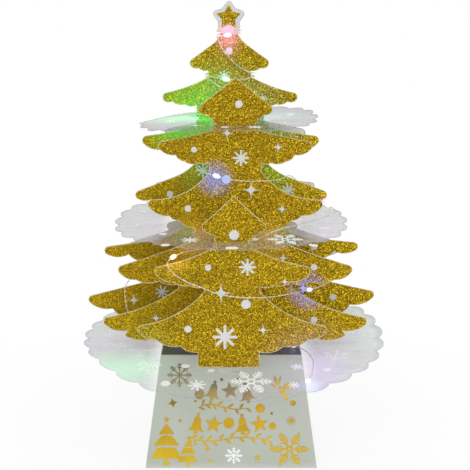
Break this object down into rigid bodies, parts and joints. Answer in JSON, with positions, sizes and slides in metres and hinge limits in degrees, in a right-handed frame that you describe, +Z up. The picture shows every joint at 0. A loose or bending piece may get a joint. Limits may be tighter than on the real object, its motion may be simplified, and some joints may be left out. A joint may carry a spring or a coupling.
{
  "type": "light-up paper christmas tree",
  "caption": "Free-standing christmas tree slotted together from flat glitter cards and scalloped film discs on a flared box, with a battery string of lights.",
  "frame": {"origin": "centre of the base's underside, on the surface that it stands on", "axes": "+Z up along the tree; the front, which the cards face, looks along -Y; +X to the right seen from the front"},
  "size_m": [0.2054, 0.2044, 0.3],
  "materials": {
    "gold_glitter_card": "gold glitter film on card, pale cut edge",
    "pearl_film": "translucent pearly film with white flocked ornaments",
    "smoked_film": "folded translucent grey film, printed with gold ornaments",
    "black_card": "black card, folded",
    "white_moulding": "white moulding, fine texture",
    "black_moulding": "black moulding",
    "cell_jacket": "plain jacket of a dry cell, steel ends",
    "plated_steel": "nickel-plated spring steel",
    "enamelled_wire": "enamelled copper wire",
    "resin_bead": "clear resin bead over a small lamp"
  },
  "bodies": {
    "tree": {"card_centre": "gold_glitter_card", "card_front_inner": "gold_glitter_card", "card_front_outer": "gold_glitter_card", "card_back_inner": "gold_glitter_card", "card_back_outer": "gold_glitter_card", "disc_bottom": "pearl_film", "disc_middle": "pearl_film", "disc_top": "pearl_film", "base_box": "smoked_film", "base_deck": "black_card", "battery_box": "white_moulding", "cell_1": "cell_jacket", "cell_2": "cell_jacket", "cell_3": "cell_jacket", "contact_plates": "plated_steel", "contact_springs": "plated_steel", "switch_body": "black_moulding", "light_wire": "enamelled_wire", "light_01": "resin_bead", "light_02": "resin_bead", "light_03": "resin_bead", "light_04": "resin_bead", "light_05": "resin_bead", "light_06": "resin_bead", "light_07": "resin_bead", "light_08": "resin_bead", "light_09": "resin_bead", "light_10": "resin_bead", "light_11": "resin_bead", "light_12": "resin_bead", "light_13": "resin_bead"},
    "battery_lid": {"battery_lid": "white_moulding"},
    "switch_knob": {"switch_knob": "black_moulding"}
  },
  "joints": [
    {"name": "lid_slide", "type": "slide", "parent": "tree", "child": "battery_lid", "axis": [1, 0, 0], "range_m": [0, 0.03]},
    {"name": "switch_slide", "type": "slide", "parent": "tree", "child": "switch_knob", "axis": [0, 1, 0], "range_m": [0, 0.003]}
  ]
}
